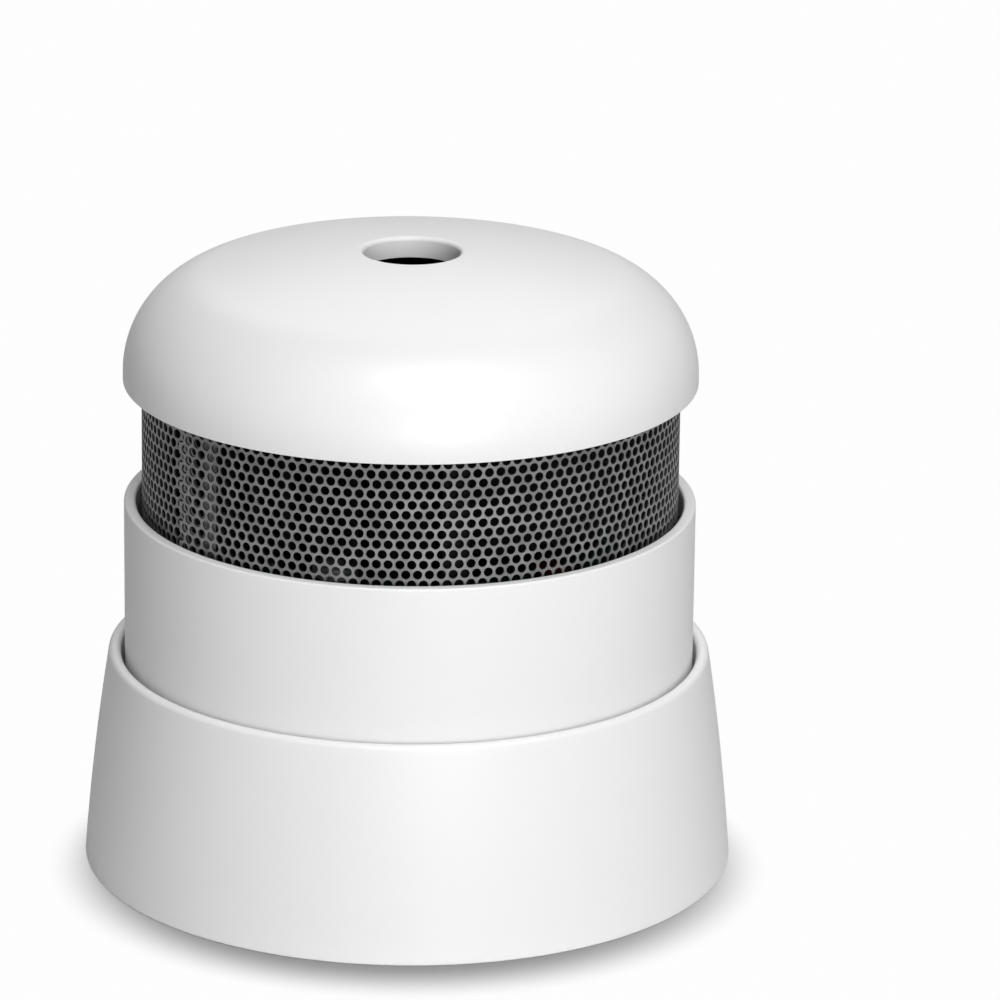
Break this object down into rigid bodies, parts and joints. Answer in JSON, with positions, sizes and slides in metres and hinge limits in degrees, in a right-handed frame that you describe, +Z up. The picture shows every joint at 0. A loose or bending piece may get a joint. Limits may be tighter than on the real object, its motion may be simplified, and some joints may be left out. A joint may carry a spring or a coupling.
{
  "type": "smoke alarm",
  "caption": "Small round battery smoke alarm: flared twist-lock base, straight housing cup, perforated mesh band and a domed cap with a central sounder port.",
  "frame": {"origin": "centre of the base's flat underside, on the alarm's axis", "axes": "+Z up along the alarm's axis through the sounder port; -Y is the front; the two screw slots lie along X"},
  "size_m": [0.0404, 0.0404, 0.0388],
  "materials": {
    "white_plastic": "fine satin moulded plastic",
    "black_plastic": "matt black moulded plastic",
    "mesh_steel": "dull perforated steel sheet",
    "cell_sleeve": "shrunk plastic sleeve, bare steel ends",
    "contact_metal": "nickel-plated spring strip",
    "board_green": "green solder resist",
    "screw_steel": "zinc-plated steel",
    "dark_resin": "dark infrared resin",
    "chip_black": "black moulded component body",
    "can_aluminium": "bare can",
    "red_resin": "red indicator lens",
    "sounder_brass": "thin brass sheet",
    "ceramic_white": "silvered ceramic",
    "lead_red": "insulated wire",
    "lead_black": "insulated wire"
  },
  "bodies": {
    "base": {"mounting_base": "white_plastic"},
    "housing": {"housing_cup": "white_plastic", "battery_cell": "cell_sleeve", "positive_contact": "contact_metal", "negative_contact": "contact_metal", "circuit_board": "board_green", "board_screws": "screw_steel", "chamber_base": "black_plastic", "chamber_cover": "black_plastic", "infrared_led": "dark_resin", "photodiode": "dark_resin", "photodiode_shield": "contact_metal", "microcontroller": "chip_black", "boost_coil": "chip_black", "reservoir_capacitor": "can_aluminium", "chip_resistors": "chip_black", "indicator_led": "red_resin", "test_switch": "contact_metal", "sounder_holder": "black_plastic", "sounder_disc": "sounder_brass", "sounder_ceramic": "ceramic_white", "sounder_lead_1": "lead_red", "sounder_lead_2": "lead_black"},
    "head": {"dome_cap": "white_plastic", "insect_mesh": "mesh_steel", "mesh_carrier": "black_plastic"},
    "plunger": {"switch_plunger": "black_plastic"}
  },
  "joints": [
    {"name": "base_twist", "type": "hinge", "parent": "base", "child": "housing", "pos_m": [0, 0, 0.005], "axis": [0, 0, 1], "range_deg": [0, 25]},
    {"name": "head_press", "type": "slide", "parent": "housing", "child": "head", "axis": [0, 0, -1], "range_m": [0, 0.0005], "stiffness_N_per_m": 800, "springref_m": -0.001},
    {"name": "plunger_stroke", "type": "slide", "parent": "housing", "child": "plunger", "axis": [0, 0, -1], "range_m": [0, 0.0005]}
  ],
  "couplings": [
    {"joint": "plunger_stroke", "follows": "head_press", "ratio": 1}
  ]
}
